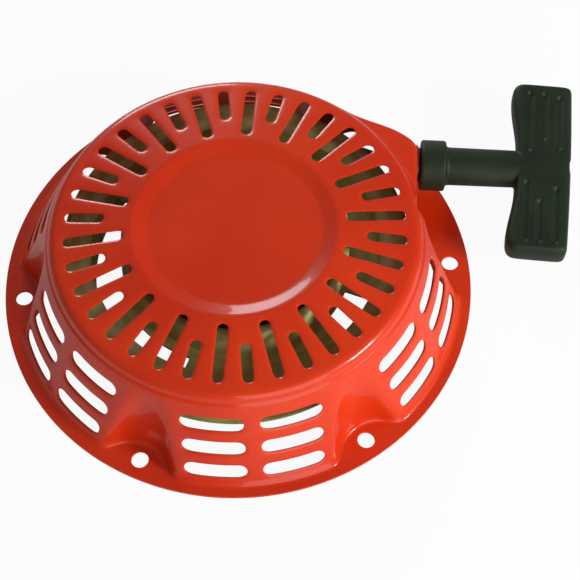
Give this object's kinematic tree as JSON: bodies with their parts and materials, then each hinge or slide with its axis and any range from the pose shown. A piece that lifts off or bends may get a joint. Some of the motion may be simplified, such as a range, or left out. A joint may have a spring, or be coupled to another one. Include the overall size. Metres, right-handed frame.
{
  "type": "recoil starter",
  "caption": "Pressed-steel recoil starter cover with vent slots, bolt pockets, a rope reel, spiral spring, swinging ratchets and a T-grip on a pull cord.",
  "frame": {"origin": "centre of the mounting flange's underside, on the reel's axis", "axes": "+Z along the reel's axis from the engine towards the dome, +X along the pull of the cord"},
  "size_m": [0.2882, 0.238, 0.055],
  "materials": {
    "red_enamel": "gloss",
    "plated_steel": "satin",
    "eyelet_black": "satin",
    "reel_nylon": "satin",
    "spring_steel": "oiled",
    "cord": "braided",
    "ratchet_steel": "satin",
    "guide_plastic": "satin",
    "grip_black": "moulded, semi-matte"
  },
  "bodies": {
    "case": {"case": "red_enamel", "post_plate": "plated_steel", "center_post": "plated_steel", "set_screw": "plated_steel", "set_washer": "plated_steel", "rope_guide": "eyelet_black", "rope_run": "cord"},
    "reel": {"reel": "reel_nylon", "recoil_spring": "spring_steel", "rope_coil": "cord", "reel_knot": "cord", "ratchet_spring_a": "spring_steel", "ratchet_spring_b": "spring_steel"},
    "ratchet_a": {"ratchet_a": "ratchet_steel"},
    "ratchet_b": {"ratchet_b": "ratchet_steel"},
    "ratchet_guide": {"ratchet_guide": "guide_plastic", "friction_spring": "spring_steel"},
    "grip": {"grip": "grip_black", "rope_pull": "cord", "grip_washer": "plated_steel", "grip_knot": "cord"}
  },
  "joints": [
    {"name": "reel_spin", "type": "hinge", "parent": "case", "child": "reel", "pos_m": [0, 0, 0.025], "axis": [0, 0, -1], "range_deg": [0, 1120], "stiffness_Nm_per_rad": 0.03, "springref_deg": -458.37, "deforming": ["recoil_spring"]},
    {"name": "grip_pull", "type": "slide", "parent": "case", "child": "grip", "axis": [1, 0, 0], "range_m": [0, 1.5], "deforming": ["rope_pull"]},
    {"name": "ratchet_a_swing", "type": "hinge", "parent": "reel", "child": "ratchet_a", "pos_m": [0.021, 0, 0.0225], "axis": [0, 0, 1], "range_deg": [0, 35]},
    {"name": "ratchet_b_swing", "type": "hinge", "parent": "reel", "child": "ratchet_b", "pos_m": [-0.021, 0, 0.0225], "axis": [0, 0, 1], "range_deg": [0, 35]},
    {"name": "guide_turn", "type": "hinge", "parent": "reel", "child": "ratchet_guide", "pos_m": [0, 0, 0.0187], "axis": [0, 0, 1], "range_deg": [0, 25]}
  ],
  "couplings": [
    {"joint": "grip_pull", "follows": "reel_spin", "m_per_rad": 0.0762},
    {"joint": "ratchet_b_swing", "follows": "ratchet_a_swing", "ratio": 1},
    {"joint": "guide_turn", "follows": "ratchet_a_swing", "ratio": 0.714}
  ]
}
